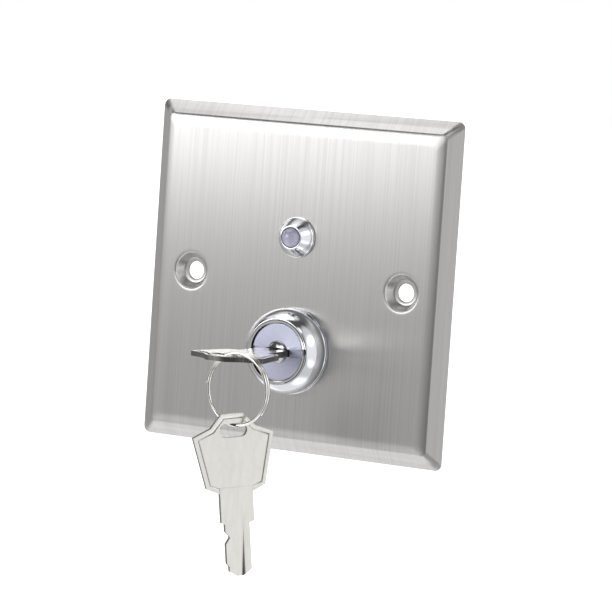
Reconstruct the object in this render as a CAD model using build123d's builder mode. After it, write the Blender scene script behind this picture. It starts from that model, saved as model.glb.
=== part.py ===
from build123d import *

import os
from math import cos, radians, sin, sqrt

# Selector key switch on a square wall plate: indicator lamp above, key lock below, the spare
# key hanging from a split ring on the bow of the key that is in the lock.
# Frame: +Z up, the plate faces -Y, the wall is the plane Y = 0, and the origin is the middle
# of the two fixing screw holes. Every "_at" value below is a height off the wall: positive
# stands out towards the room, negative goes back into the wall box.
# Plane.XZ.offset(h) is the plane at height h, its x along +X, its y along +Z.

# ---------------------------------------------------------------- driving dimensions (mm)
# faceplate
PLATE_WIDTH = 86.0
PLATE_HEIGHT = 86.0
PLATE_STAND = 3.2          # front face off the wall
SHEET = 0.8                # stainless sheet
BEVEL_RUN = 3.4            # pressed bevel round the edge, seen from the front
BEND_DROP = 0.45           # the crease lies this far behind the front face
BEND_RUN = 3.0             # soft bend inside the crease
CORNER_R = 1.8             # corner radius of the rim
SCREW_SPACING = 60.3
SCREW_HOLE_D = 4.6
DIMPLE_D = 9.0             # mouth of the pressed screw seats
DIMPLE_FLOOR_D = 6.2

# lock
LOCK_Z = -17.4             # lock axis below the origin
COLLAR_D = 21.8            # base of the domed collar
COLLAR_MOUTH_D = 16.7      # front edge of the domed collar
COLLAR_HEIGHT = 6.6
HOUSING_D = 15.8           # threaded barrel
HOUSING_FLANGE_D = 18.6
HOUSING_FLANGE_T = 1.8
HOUSING_RIM_WALL = 0.45
HOUSING_BACK_AT = -12.0
FLATS = 14.8               # across the two flats of the barrel
THREAD_PITCH = 1.0
THREAD_DEPTH = 0.3
PLUG_D = 12.4
PLUG_CAP_T = 1.2
PLUG_SET_BACK = 0.45       # cap face behind the rim
WAFER_COUNT = 5
WAFER_T = 0.8
WAFER_PITCH = 1.7
WAFER_FRONT_AT = 7.0
WAFER_DROP = 0.6           # travel of a wafer when no key holds it
WAFER_HALF = 3.3           # half the height of a wafer
WAFER_SHELF = 1.9          # above this its left side is cut away for the spring
WAFER_SPRING_L = 2.6
SPRING_SEAT_X = -4.4
PLUG_FACE_GROOVE = 0.6     # groove and round recess in the face of the cap
FACE_RECESS_D = 5.5
LOCK_NUT_AF = 20.0
LOCK_NUT_T = 3.0
TOOTH_WASHER_D = 20.6
TOOTH_WASHER_T = 0.7
TAIL_W = 6.0               # flat tail of the plug
TAIL_T = 3.0

# switch block behind the lock
CASE_D = 28.0
CASE_NECK_D = 20.0
CASE_NECK_L = 5.5
CASE_FRONT_AT = -14.0
CASE_FRONT_WALL = 1.5
COVER_T = 2.5
COVER_SPIGOT = 3.0         # plug of the cover inside the case
ROTOR_D = 18.0
ROTOR_T = 5.0
ROTOR_BOSS_D = 8.8
DETENT_BALL_D = 2.5
DETENT_TRAVEL = 0.5
DETENT_POCKET = 6.5        # depth of the spring pocket from the case bore
CONTACT_R = 6.8            # contact circle round the lock axis
CONTACT_D = 3.0
BRIDGE_W = 4.0
BRIDGE_T = 0.5
BRIDGE_PROUD = 0.4         # contact bridge stands out of the rotor
BRIDGE_GROOVE = 1.2        # depth of its groove in the rotor
TAB_W = 5.0
TAB_T = 0.8
TAB_OUT = 7.0              # terminal tabs behind the cover

# indicator lamp
LED_Z = 11.1
BEZEL_FLANGE_D = 10.2
BEZEL_FLANGE_T = 0.4
BEZEL_CONE_D = 9.7
BEZEL_RING_D = 6.0
BEZEL_HEIGHT = 3.4
LED_D = 5.0
LED_SET_BACK = 0.7         # start of the lens dome behind the bezel's front ring
LED_BODY = 5.6
LED_FLANGE_D = 5.8
LED_BARREL_D = 8.0
LED_BARREL_BACK_AT = -6.0
LED_NUT_AF = 11.0
LED_NUT_T = 2.4
LED_PIN = 0.5
LED_PIN_SPACING = 2.54
BOARD_W = 20.0
BOARD_H = 15.0
BOARD_T = 1.6
BOARD_AT = -8.0            # front face of the lamp board

# keys and ring
KEY_T = 1.55               # blade and coined panel
KEY_RIM_T = 1.3            # bow outside the coined panel
KEY_LENGTH = 39.8
KEY_HEAD_AT = 39.6         # head end of the inserted key off the wall
BOW_TOP = 5.4              # bow widths at the head end, the bend, the shoulders and the foot
BOW_BEND = 11.2
BOW_W = 20.2
BOW_FOOT = 14.8
BEND_V = 3.3               # and how far each lies from the head end
SHOULDER_V = 5.2
FOOT_V = 17.9
STEM_V = 19.4
STEM_END_V = 26.5
STEM_W = 8.3
BLADE_LEFT = 3.3           # edges of the blade from the key's middle
BLADE_RIGHT = 2.9
CUT_DEEP = 1.0             # deepest tooth cut
CUT_TIP = 0.6              # shallow cut next to the tip
TIP_RUN = 1.5              # slanted tip
TIP_FLAT = 1.5
BLADE_GROOVE_W = 1.8
BLADE_GROOVE_DEEP = 0.35
BLADE_GROOVE_V = 22.5
KEY_SLOT_W = 6.2
KEY_SLOT_H = 3.2
KEY_SLOT_V = 4.0           # slot centre from the head end
PANEL_INSET = 1.2
RING_R = 8.75              # to the middle of the ring wire
RING_WIRE = 0.85
RING_PITCH = 0.9
RING_START = -38.0         # free end of the first turn, counter-clockwise from the right
RING_SWEEP = 573.0         # the wire laps itself by more than half a turn
RING_V = 3.15              # ring plane from the head end, along the inserted key
RING_TURN = -6.0           # ring plane turned about the vertical
RING_HANG = 0.3            # ring over the web that carries it, room for the lapped turns to swing
SPARE_TURN = 46.0          # width of the spare key turned from +X towards the wall
SPARE_TILT = 7.0           # lean of the spare key in its own plane
SPARE_U = 0.8              # where the ring carries the spare key, across its slot
SPARE_HANG = 0.2           # gap between ring wire and the web of the spare key

# clearances
RUN_FIT = 0.06             # radial, running fits
SLIP = 0.1                 # radial, parts that slip over or through each other
TOUCH = 0.05               # face gap between bodies that move past each other

# ---------------------------------------------------------------- worked out from these
PLATE_BACK_AT = PLATE_STAND - SHEET
CREASE_AT = PLATE_STAND - BEND_DROP
BEVEL_SHIFT = SHEET * sqrt(BEVEL_RUN ** 2 + CREASE_AT ** 2) / CREASE_AT
RIM_AT = PLATE_STAND + COLLAR_HEIGHT + 0.1
CAP_FRONT_AT = RIM_AT - PLUG_SET_BACK
PLUG_FRONT_AT = CAP_FRONT_AT - PLUG_CAP_T
COUNTERBORE_R = HOUSING_D / 2 - HOUSING_RIM_WALL
CAP_R = COUNTERBORE_R - 0.2
BORE_R = PLUG_D / 2 + RUN_FIT
FLANGE_FRONT_AT = PLATE_STAND + HOUSING_FLANGE_T
WASHER_BACK_AT = PLATE_BACK_AT - TOOTH_WASHER_T
NUT_BACK_AT = WASHER_BACK_AT - LOCK_NUT_T
WAFER_BACK_AT = WAFER_FRONT_AT - (WAFER_COUNT - 1) * WAFER_PITCH
CLIP_T = 0.6
CLIP_AT = HOUSING_BACK_AT - TOUCH
PLUG_BACK_AT = CLIP_AT - CLIP_T - 0.4
CLIP_GROOVE_R = PLUG_D / 2 - 1.0
ROTOR_FRONT_AT = CASE_FRONT_AT - CASE_FRONT_WALL - 0.2
ROTOR_BACK_AT = ROTOR_FRONT_AT - ROTOR_T
ROTOR_R = ROTOR_D / 2
CAVITY_R = ROTOR_R + 0.5
BRIDGE_BACK_AT = ROTOR_BACK_AT - BRIDGE_PROUD
BRIDGE_FRONT_AT = BRIDGE_BACK_AT + BRIDGE_T
CONTACT_AT = BRIDGE_BACK_AT - TOUCH
COVER_INNER_AT = CONTACT_AT - 1.0
CASE_BACK_AT = COVER_INNER_AT - COVER_SPIGOT
COVER_BACK_AT = CASE_BACK_AT - COVER_T
TAB_END_AT = COVER_BACK_AT - TAB_OUT
TAIL_END_AT = ROTOR_BACK_AT + BRIDGE_GROOVE + 0.8
CASE_SCREW_R = (CAVITY_R + CASE_D / 2) / 2
BALL_R = DETENT_BALL_D / 2
BALL_OUT = ROTOR_R + BALL_R + TOUCH
BALL_AT = (ROTOR_FRONT_AT + ROTOR_BACK_AT) / 2
POCKET_R = BALL_R + SLIP
POCKET_END = CAVITY_R + DETENT_POCKET
KEY_TIP_AT = KEY_HEAD_AT - KEY_LENGTH
KEYWAY_END_AT = KEY_TIP_AT - 0.2
KEYWAY_H = KEY_T + 0.3
KEYWAY_LEFT = BLADE_LEFT + 0.2
KEYWAY_RIGHT = BLADE_RIGHT + 0.2
LED_BORE_R = LED_D / 2 + SLIP
LED_SEAT_R = LED_FLANGE_D / 2 + SLIP
BEZEL_FRONT_AT = PLATE_STAND + BEZEL_HEIGHT
LED_DOME_AT = BEZEL_FRONT_AT - LED_SET_BACK
LED_FLANGE_AT = LED_DOME_AT - LED_BODY
LED_BACK_AT = LED_FLANGE_AT - 1.0
LED_NUT_BACK_AT = PLATE_BACK_AT - LED_NUT_T
BOARD_Z = LED_Z + 3.0
BOARD_BACK_AT = BOARD_AT - BOARD_T
SLOT_EDGE_V = KEY_SLOT_V - KEY_SLOT_H / 2

# the web of the bow between the slot's right end and the slanted edge carries the ring
WEB_LEFT = KEY_SLOT_W / 2
WEB_RIGHT = BOW_BEND / 2 + 0.9
RING_X = (WEB_LEFT + WEB_RIGHT) / 2
WEB_HALF = (WEB_RIGHT - WEB_LEFT) / 2
INNER_RING_R = RING_R - RING_WIRE / 2
WEB_TOP_Z = LOCK_Z + KEY_RIM_T / 2
RING_Z = WEB_TOP_Z + RING_HANG - sqrt(INNER_RING_R ** 2 - WEB_HALF ** 2)
RING_AT = KEY_HEAD_AT - RING_V

os.makedirs("parts", exist_ok=True)


# ---------------------------------------------------------------- shared construction
def front(height, z=0.0, x=0.0):
    """Plane parallel to the wall at this height, origin at (x, z), looking out of the wall."""
    return Plane(origin=(x, -height, z), x_dir=(1, 0, 0), z_dir=(0, -1, 0))


def turned(points, z=0.0, x=0.0, mode=Mode.ADD):
    """Solid of revolution about the line along Y at (x, z), from (radius, height) points."""
    with BuildSketch(Plane(origin=(x, 0, z), x_dir=(1, 0, 0), z_dir=(0, 0, 1))) as profile:
        with BuildLine():
            Polyline([(r, -h) for r, h in points], close=True)
        make_face()
    revolve(profile.sketch, axis=Axis((x, 0, z), (0, 1, 0)), mode=mode)


def thread(radius, low, high):
    """Ridges of a thread as (radius, height) points, from low to high."""
    points = []
    ridges = int((high - low) / THREAD_PITCH)
    for i in range(ridges):
        base = low + i * THREAD_PITCH
        points += [(radius, base + 0.15), (radius - THREAD_DEPTH, base + 0.5), (radius, base + 0.85)]
    return points


def hexagon_nut(across_flats, bore_r, thick, high, z):
    """Chamfered hexagon nut whose front face is at height high."""
    with BuildSketch(front(high, z)) as hexagon:
        RegularPolygon(across_flats / 2, 6, major_radius=False)
    extrude(hexagon.sketch, amount=-thick)
    corner_r = across_flats / sqrt(3) + 0.01
    low = high - thick
    turned([(0, low), (across_flats / 2, low), (corner_r, low + 0.6), (corner_r, high), (0, high)], z,
           mode=Mode.INTERSECT)
    with BuildSketch(front(high, z)) as bore:
        Circle(bore_r)
    extrude(bore.sketch, amount=-thick, mode=Mode.SUBTRACT)


def save(piece, name):
    """Label the finished piece and write its file."""
    piece.part.label = name
    export_step(piece.part, f"parts/{name}.step")


# ---------------------------------------------------------------- faceplate
def pan_section(inset, height, corner):
    """One level of the pressed pan: a rounded rectangle inset from the rim."""
    with BuildSketch(front(height)) as level:
        RectangleRounded(PLATE_WIDTH - 2 * inset, PLATE_HEIGHT - 2 * inset, corner)
    return level.sketch


PAN_OUTSIDE = [
    (0.0, 0.0, CORNER_R),
    (BEVEL_RUN, CREASE_AT, CORNER_R * 0.7),
    (BEVEL_RUN + BEND_RUN * 0.35, PLATE_STAND - BEND_DROP * 0.38, CORNER_R),
    (BEVEL_RUN + BEND_RUN, PLATE_STAND, CORNER_R * 2),
]
PAN_INSIDE = [
    (BEVEL_SHIFT, 0.0, CORNER_R * 0.5),
    (BEVEL_SHIFT + BEVEL_RUN * (CREASE_AT - SHEET) / CREASE_AT, CREASE_AT - SHEET, CORNER_R * 0.5),
    (BEVEL_RUN + BEND_RUN, PLATE_BACK_AT, CORNER_R * 2),
]

with BuildPart() as faceplate:
    for lower, upper in zip(PAN_OUTSIDE, PAN_OUTSIDE[1:]):
        loft([pan_section(*lower), pan_section(*upper)], ruled=True)
    for lower, upper in zip(PAN_INSIDE, PAN_INSIDE[1:]):
        loft([pan_section(*lower), pan_section(*upper)], ruled=True, mode=Mode.SUBTRACT)
    for side in (-1, 1):
        screw_x = side * SCREW_SPACING / 2
        mouth, floor = DIMPLE_D / 2, DIMPLE_FLOOR_D / 2
        turned([(0, PLATE_BACK_AT), (mouth + 0.6, PLATE_BACK_AT), (floor + SHEET * 0.8, 0), (0, 0)], x=screw_x)
        turned([(0, PLATE_STAND), (mouth + 0.35, PLATE_STAND), (mouth - 0.1, PLATE_STAND - 0.25),
                (floor, SHEET), (0, SHEET)], x=screw_x, mode=Mode.SUBTRACT)
        with BuildSketch(front(PLATE_STAND, x=screw_x)):
            Circle(SCREW_HOLE_D / 2)
        extrude(amount=-PLATE_STAND, mode=Mode.SUBTRACT)
    with BuildSketch(front(PLATE_STAND, LOCK_Z)):
        Circle(HOUSING_D / 2 + SLIP)
        Rectangle(FLATS + 2 * SLIP, HOUSING_D * 1.2, mode=Mode.INTERSECT)
    extrude(amount=-2 * SHEET, mode=Mode.SUBTRACT)
    with BuildSketch(front(PLATE_STAND, LED_Z)):
        Circle(LED_BARREL_D / 2 + SLIP)
    extrude(amount=-2 * SHEET, mode=Mode.SUBTRACT)
save(faceplate, "faceplate")


# ---------------------------------------------------------------- lock
with BuildPart() as lock_collar:
    foot_r = COLLAR_D / 2
    mouth_r = COLLAR_MOUTH_D / 2
    with BuildSketch(Plane(origin=(0, 0, LOCK_Z), x_dir=(1, 0, 0), z_dir=(0, 0, 1))):
        with BuildLine():
            foot_top = (foot_r, -PLATE_STAND - 0.5)
            dome_foot = (foot_r - 0.3, -PLATE_STAND - 0.7)
            mouth_edge = (mouth_r, -PLATE_STAND - COLLAR_HEIGHT)
            Polyline((HOUSING_FLANGE_D / 2, -PLATE_STAND), (foot_r, -PLATE_STAND), foot_top, dome_foot)
            ThreePointArc(dome_foot, (foot_r - 0.85, -PLATE_STAND - COLLAR_HEIGHT * 0.6), mouth_edge)
            Polyline(mouth_edge, (HOUSING_D / 2 + SLIP, -PLATE_STAND - COLLAR_HEIGHT),
                     (HOUSING_D / 2 + SLIP, -FLANGE_FRONT_AT), (HOUSING_FLANGE_D / 2, -FLANGE_FRONT_AT),
                     (HOUSING_FLANGE_D / 2, -PLATE_STAND))
        make_face()
    revolve(axis=Axis((0, 0, LOCK_Z), (0, 1, 0)))
save(lock_collar, "lock_collar")


def wafer_channel():
    """Channels in the housing bore that take the wafers in both positions of the key."""
    for quarter in (0, 90):
        with BuildSketch(front(WAFER_FRONT_AT + WAFER_T, LOCK_Z).rotated((0, 0, quarter))) as channel:
            with Locations((WAFER_DROP + 0.05, 0)):
                Circle(PLUG_D / 2)
            with Locations((PLUG_D / 2, 0)):
                Rectangle(PLUG_D, 2 * WAFER_HALF + 0.3, mode=Mode.INTERSECT)
        extrude(channel.sketch, amount=-(WAFER_FRONT_AT - WAFER_BACK_AT + 2 * WAFER_T), mode=Mode.SUBTRACT)


with BuildPart() as lock_housing:
    crest = HOUSING_D / 2
    turned([(BORE_R, HOUSING_BACK_AT), (crest - 0.5, HOUSING_BACK_AT), (crest, HOUSING_BACK_AT + 0.5)]
           + thread(crest, HOUSING_BACK_AT + 0.6, PLATE_BACK_AT)
           + [(crest, PLATE_STAND), (HOUSING_FLANGE_D / 2, PLATE_STAND), (HOUSING_FLANGE_D / 2, FLANGE_FRONT_AT),
              (crest, FLANGE_FRONT_AT), (crest, RIM_AT), (COUNTERBORE_R, RIM_AT),
              (COUNTERBORE_R, PLUG_FRONT_AT - TOUCH), (BORE_R, PLUG_FRONT_AT - TOUCH)], LOCK_Z)
    barrel = PLATE_STAND - HOUSING_BACK_AT
    with Locations(*[(side * (FLATS / 2 + 2), barrel / 2 - PLATE_STAND, LOCK_Z) for side in (-1, 1)]):
        Box(4, barrel, HOUSING_D, mode=Mode.SUBTRACT)
    wafer_channel()
save(lock_housing, "lock_housing")

with BuildPart() as tooth_washer:
    with BuildSketch(front(PLATE_BACK_AT, LOCK_Z)):
        Circle(TOOTH_WASHER_D / 2)
        Circle(HOUSING_D / 2 + SLIP, mode=Mode.SUBTRACT)
        with PolarLocations(TOOTH_WASHER_D / 2, 16):
            Rectangle(2.2, 1.1, mode=Mode.SUBTRACT)
    extrude(amount=-TOOTH_WASHER_T)
save(tooth_washer, "tooth_washer")

with BuildPart() as lock_nut:
    hexagon_nut(LOCK_NUT_AF, HOUSING_D / 2 + SLIP, LOCK_NUT_T, WASHER_BACK_AT, LOCK_Z)
save(lock_nut, "lock_nut")

wafer_heights = [WAFER_FRONT_AT - i * WAFER_PITCH for i in range(WAFER_COUNT)]
with BuildPart() as lock_plug:
    turned([(0, PLUG_BACK_AT), (PLUG_D / 2, PLUG_BACK_AT), (PLUG_D / 2, CLIP_AT - CLIP_T),
            (CLIP_GROOVE_R, CLIP_AT - CLIP_T), (CLIP_GROOVE_R, CLIP_AT), (PLUG_D / 2, CLIP_AT),
            (PLUG_D / 2, PLUG_FRONT_AT), (0, PLUG_FRONT_AT)], LOCK_Z)
    with BuildSketch(front(PLUG_BACK_AT, LOCK_Z)):
        Rectangle(TAIL_W, TAIL_T)
    extrude(amount=TAIL_END_AT - PLUG_BACK_AT)
    with BuildSketch(front(PLUG_FRONT_AT, LOCK_Z)):
        with Locations(((KEYWAY_RIGHT - KEYWAY_LEFT) / 2, 0)):
            Rectangle(KEYWAY_LEFT + KEYWAY_RIGHT, KEYWAY_H)
    extrude(amount=KEYWAY_END_AT - PLUG_FRONT_AT, mode=Mode.SUBTRACT)
    for at in wafer_heights:
        with BuildSketch(front(at, LOCK_Z)):
            with Locations((0, (WAFER_SHELF - WAFER_HALF) / 2)):
                Rectangle(2 * PLUG_D, WAFER_HALF + WAFER_SHELF + 2 * SLIP)
            with Locations((SPRING_SEAT_X + PLUG_D / 2, (WAFER_SHELF + WAFER_HALF) / 2)):
                Rectangle(PLUG_D, WAFER_HALF - WAFER_SHELF + 2 * SLIP)
        extrude(amount=WAFER_T / 2 + TOUCH, both=True, mode=Mode.SUBTRACT)
save(lock_plug, "lock_plug")

with BuildPart() as plug_cap:
    turned([(0, PLUG_FRONT_AT), (CAP_R, PLUG_FRONT_AT), (CAP_R, CAP_FRONT_AT - 0.15),
            (CAP_R - 0.15, CAP_FRONT_AT), (0, CAP_FRONT_AT)], LOCK_Z)
    with BuildSketch(front(CAP_FRONT_AT, LOCK_Z)):
        Rectangle(3 * CAP_R, KEYWAY_H)
        Circle(FACE_RECESS_D / 2)
    extrude(amount=-PLUG_FACE_GROOVE, mode=Mode.SUBTRACT)
    with BuildSketch(front(CAP_FRONT_AT, LOCK_Z)):
        with Locations(((KEYWAY_RIGHT - KEYWAY_LEFT) / 2, 0)):
            Rectangle(KEYWAY_LEFT + KEYWAY_RIGHT, KEYWAY_H)
    extrude(amount=-PLUG_CAP_T, mode=Mode.SUBTRACT)
save(plug_cap, "plug_cap")

with BuildPart() as plug_clip:
    with BuildSketch(front(CLIP_AT, LOCK_Z)):
        Circle(BORE_R + 0.9)
        Circle(CLIP_GROOVE_R, mode=Mode.SUBTRACT)
        with Locations((0, -BORE_R)):
            Rectangle(5.0, 4.0, mode=Mode.SUBTRACT)
    extrude(amount=-CLIP_T)
save(plug_clip, "plug_clip")

with BuildPart() as wafer_tumblers:
    for at in wafer_heights:
        with BuildSketch(front(at, LOCK_Z)):
            Circle(PLUG_D / 2 - SLIP)
            with Locations((0, 0)):
                Rectangle(PLUG_D, 2 * WAFER_HALF, mode=Mode.INTERSECT)
            with Locations((SPRING_SEAT_X - 1, WAFER_SHELF + PLUG_D / 2)):
                Rectangle(8, PLUG_D, mode=Mode.SUBTRACT)
            window_left = -KEYWAY_LEFT - WAFER_DROP - 0.1
            with Locations(((window_left + KEYWAY_RIGHT) / 2, 0)):
                Rectangle(KEYWAY_RIGHT - window_left, KEYWAY_H, mode=Mode.SUBTRACT)
        extrude(amount=WAFER_T / 2, both=True)
save(wafer_tumblers, "wafer_tumblers")


def coil_spring(start, direction, length, radius, wire, turns):
    """Coil spring of round wire, its axis from start along direction."""
    with BuildLine() as coil:
        Helix(length / turns, length, radius, center=start, direction=direction)
    with BuildSketch(Plane(origin=coil.line @ 0, z_dir=coil.line % 0)) as section:
        Circle(wire / 2)
    sweep(section.sketch, path=coil.line, is_frenet=True)


with BuildPart() as wafer_springs:
    for at in wafer_heights:
        coil_spring((SPRING_SEAT_X + 0.15, -at, LOCK_Z + (WAFER_SHELF + WAFER_HALF) / 2), (1, 0, 0),
                    WAFER_SPRING_L, WAFER_T / 2 - 0.12, 0.2, 4)
save(wafer_springs, "wafer_springs")


# ---------------------------------------------------------------- switch block
NECK_FRONT_AT = CASE_FRONT_AT + CASE_NECK_L
GRUB_AT = NECK_FRONT_AT - 2.0
GRUB_R = 1.5
COVER_SCREW_ANGLES = (45, 225)
COVER_SCREW_L = 7.0
TAIL_HOLE_R = ROTOR_BOSS_D / 2 + 0.2

with BuildPart() as switch_case:
    neck_r = HOUSING_D / 2 + SLIP
    turned([(neck_r, NECK_FRONT_AT), (CASE_NECK_D / 2, NECK_FRONT_AT), (CASE_NECK_D / 2, CASE_FRONT_AT),
            (CASE_D / 2 - 0.8, CASE_FRONT_AT), (CASE_D / 2, CASE_FRONT_AT - 0.8), (CASE_D / 2, CASE_BACK_AT),
            (CAVITY_R, CASE_BACK_AT), (CAVITY_R, CASE_FRONT_AT - CASE_FRONT_WALL),
            (TAIL_HOLE_R, CASE_FRONT_AT - CASE_FRONT_WALL), (TAIL_HOLE_R, CASE_FRONT_AT),
            (neck_r, CASE_FRONT_AT)], LOCK_Z)
    with BuildSketch(Plane(origin=(0, -BALL_AT, LOCK_Z - CASE_D / 2 + 1), z_dir=(0, 0, -1))):
        Circle(POCKET_R + 1.4)
    extrude(amount=POCKET_END + 1.2 - CASE_D / 2 + 1)
    with BuildSketch(Plane(origin=(0, -BALL_AT, LOCK_Z - CAVITY_R + 0.5), z_dir=(0, 0, -1))):
        Circle(POCKET_R)
    extrude(amount=DETENT_POCKET + 0.5, mode=Mode.SUBTRACT)
    with BuildSketch(Plane(origin=(0, -GRUB_AT, LOCK_Z), z_dir=(1, 0, 0))):
        Circle(GRUB_R)
    extrude(amount=CASE_NECK_D, both=True, mode=Mode.SUBTRACT)
    with BuildSketch(front(CASE_BACK_AT, LOCK_Z)):
        with Locations(*[(CASE_SCREW_R * cos(radians(a)), CASE_SCREW_R * sin(radians(a)))
                         for a in COVER_SCREW_ANGLES]):
            Circle(1.1)
    extrude(amount=COVER_SCREW_L - COVER_T + 0.5, mode=Mode.SUBTRACT)
save(switch_case, "switch_case")

with BuildPart() as case_grub_screws:
    for side in (-1, 1):
        with BuildSketch(Plane(origin=(side * FLATS / 2, -GRUB_AT, LOCK_Z), z_dir=(side, 0, 0))):
            Circle(GRUB_R)
        extrude(amount=CASE_NECK_D / 2 - FLATS / 2)
        with BuildSketch(Plane(origin=(side * CASE_NECK_D / 2, -GRUB_AT, LOCK_Z), z_dir=(side, 0, 0))):
            RegularPolygon(0.75, 6, major_radius=False)
        extrude(amount=-1.2, mode=Mode.SUBTRACT)
save(case_grub_screws, "case_grub_screws")

with BuildPart() as switch_rotor:
    turned([(0, ROTOR_BACK_AT), (ROTOR_R, ROTOR_BACK_AT), (ROTOR_R, ROTOR_FRONT_AT),
            (ROTOR_BOSS_D / 2, ROTOR_FRONT_AT), (ROTOR_BOSS_D / 2, CASE_FRONT_AT - 0.3),
            (0, CASE_FRONT_AT - 0.3)], LOCK_Z)
    with BuildSketch(front(CASE_FRONT_AT, LOCK_Z)):
        Rectangle(TAIL_W, TAIL_T)
    extrude(amount=TAIL_END_AT - CASE_FRONT_AT, mode=Mode.SUBTRACT)
    with BuildSketch(front(ROTOR_BACK_AT, LOCK_Z)):
        with Locations((ROTOR_R - 2.5, 0)):
            Rectangle(2 * ROTOR_R, BRIDGE_W + 2 * TOUCH)
    extrude(amount=BRIDGE_GROOVE, mode=Mode.SUBTRACT)
    dimple_out = BALL_OUT - DETENT_TRAVEL
    with Locations((0, -BALL_AT, LOCK_Z - dimple_out), (-dimple_out, -BALL_AT, LOCK_Z)):
        Sphere(BALL_R + RUN_FIT, mode=Mode.SUBTRACT)
save(switch_rotor, "switch_rotor")

BRIDGE_START_X = -2.2
BRIDGE_END_X = ROTOR_R - 0.3
with BuildPart() as contact_bridge:
    with BuildSketch(front(BRIDGE_BACK_AT, LOCK_Z)):
        with Locations(((BRIDGE_START_X + BRIDGE_END_X) / 2, 0)):
            SlotOverall(BRIDGE_END_X - BRIDGE_START_X, BRIDGE_W)
    extrude(amount=BRIDGE_T)
save(contact_bridge, "contact_bridge")

with BuildPart() as bridge_spring:
    floor_at = ROTOR_BACK_AT + BRIDGE_GROOVE
    leaf = 0.2
    with BuildSketch(Plane(origin=(0, 0, LOCK_Z - BRIDGE_W / 2 + 0.2), z_dir=(0, 0, 1))):
        with BuildLine():
            ends = (BRIDGE_START_X + 1.0, BRIDGE_END_X - 1.0)
            crown = sum(ends) / 2
            ThreePointArc((ends[0], -BRIDGE_FRONT_AT), (crown, -floor_at + leaf), (ends[1], -BRIDGE_FRONT_AT))
            Line((ends[1], -BRIDGE_FRONT_AT), (ends[1], -BRIDGE_FRONT_AT - leaf))
            ThreePointArc((ends[1], -BRIDGE_FRONT_AT - leaf), (crown, -floor_at),
                          (ends[0], -BRIDGE_FRONT_AT - leaf))
            Line((ends[0], -BRIDGE_FRONT_AT - leaf), (ends[0], -BRIDGE_FRONT_AT))
        make_face()
    extrude(amount=BRIDGE_W - 0.4)
save(bridge_spring, "bridge_spring")

with BuildPart() as detent_ball:
    with Locations((0, -BALL_AT, LOCK_Z - BALL_OUT)):
        Sphere(BALL_R)
save(detent_ball, "detent_ball")

with BuildPart() as detent_spring:
    coil_low = LOCK_Z - POCKET_END + 0.2
    coil_high = LOCK_Z - BALL_OUT - BALL_R - 0.2
    coil_spring((0, -BALL_AT, coil_low), (0, 0, 1), coil_high - coil_low, 0.85, 0.3, 5)
save(detent_spring, "detent_spring")

# each terminal: its name, where its tab stands on the contact face, and which way its screw points
TERMINALS = [
    ("terminal_common", (0, 0), (-1, 0)),
    ("terminal_on", (CONTACT_R, 0), (1, 0)),
    ("terminal_off", (0, CONTACT_R), (0, 1)),
]
TAB_SCREW_AT = COVER_BACK_AT - 3.8
TAB_SCREW_R = 1.25


def tab_section(out, spare=0.0):
    """Section of a terminal tab, thin along the way its screw points."""
    if out[0]:
        Rectangle(TAB_T + spare, TAB_W + spare)
    else:
        Rectangle(TAB_W + spare, TAB_T + spare)


with BuildPart() as switch_cover:
    turned([(0, COVER_BACK_AT), (CASE_D / 2 - 0.6, COVER_BACK_AT), (CASE_D / 2, COVER_BACK_AT + 0.6),
            (CASE_D / 2, CASE_BACK_AT), (CAVITY_R - TOUCH, CASE_BACK_AT), (CAVITY_R - TOUCH, COVER_INNER_AT),
            (0, COVER_INNER_AT)], LOCK_Z)
    for name, (x, z), out in TERMINALS:
        with BuildSketch(front(COVER_INNER_AT, LOCK_Z + z, x)):
            tab_section(out)
        extrude(amount=COVER_BACK_AT - COVER_INNER_AT, mode=Mode.SUBTRACT)
    with BuildSketch(front(CASE_BACK_AT, LOCK_Z)):
        with Locations(*[(CASE_SCREW_R * cos(radians(a)), CASE_SCREW_R * sin(radians(a)))
                         for a in COVER_SCREW_ANGLES]):
            Circle(1.1 + SLIP)
    extrude(amount=-COVER_T, mode=Mode.SUBTRACT)
save(switch_cover, "switch_cover")


def screw(head_plane, head_r, head_t, shank_r, shank_l):
    """Slotted pan-head screw: the plane lies under the head and looks out of it."""
    with BuildSketch(head_plane) as head:
        Circle(head_r)
    extrude(head.sketch, amount=head_t)
    with BuildSketch(head_plane) as shank:
        Circle(shank_r)
    extrude(shank.sketch, amount=-shank_l)
    with BuildSketch(head_plane.offset(head_t)) as slot:
        Rectangle(3 * head_r, head_r * 0.32)
    extrude(slot.sketch, amount=-head_t * 0.5, mode=Mode.SUBTRACT)


with BuildPart() as cover_screws:
    for a in COVER_SCREW_ANGLES:
        screw(Plane(origin=(CASE_SCREW_R * cos(radians(a)), -COVER_BACK_AT, LOCK_Z + CASE_SCREW_R * sin(radians(a))),
                    x_dir=(1, 0, 0), z_dir=(0, 1, 0)), 1.9, 1.2, 1.1, COVER_SCREW_L)
save(cover_screws, "cover_screws")

for name, (x, z), out in TERMINALS:
    with BuildPart() as terminal:
        with BuildSketch(front(CONTACT_AT, LOCK_Z + z, x)):
            Circle(CONTACT_D / 2)
        extrude(amount=COVER_INNER_AT - CONTACT_AT)
        with BuildSketch(front(COVER_INNER_AT, LOCK_Z + z, x)):
            tab_section(out)
        extrude(amount=TAB_END_AT - COVER_INNER_AT)
        with BuildSketch(Plane(origin=(x, -TAB_SCREW_AT, LOCK_Z + z), z_dir=(out[0], 0, out[1]))):
            Circle(TAB_SCREW_R)
        extrude(amount=TAB_T, both=True, mode=Mode.SUBTRACT)
    save(terminal, name)

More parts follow.
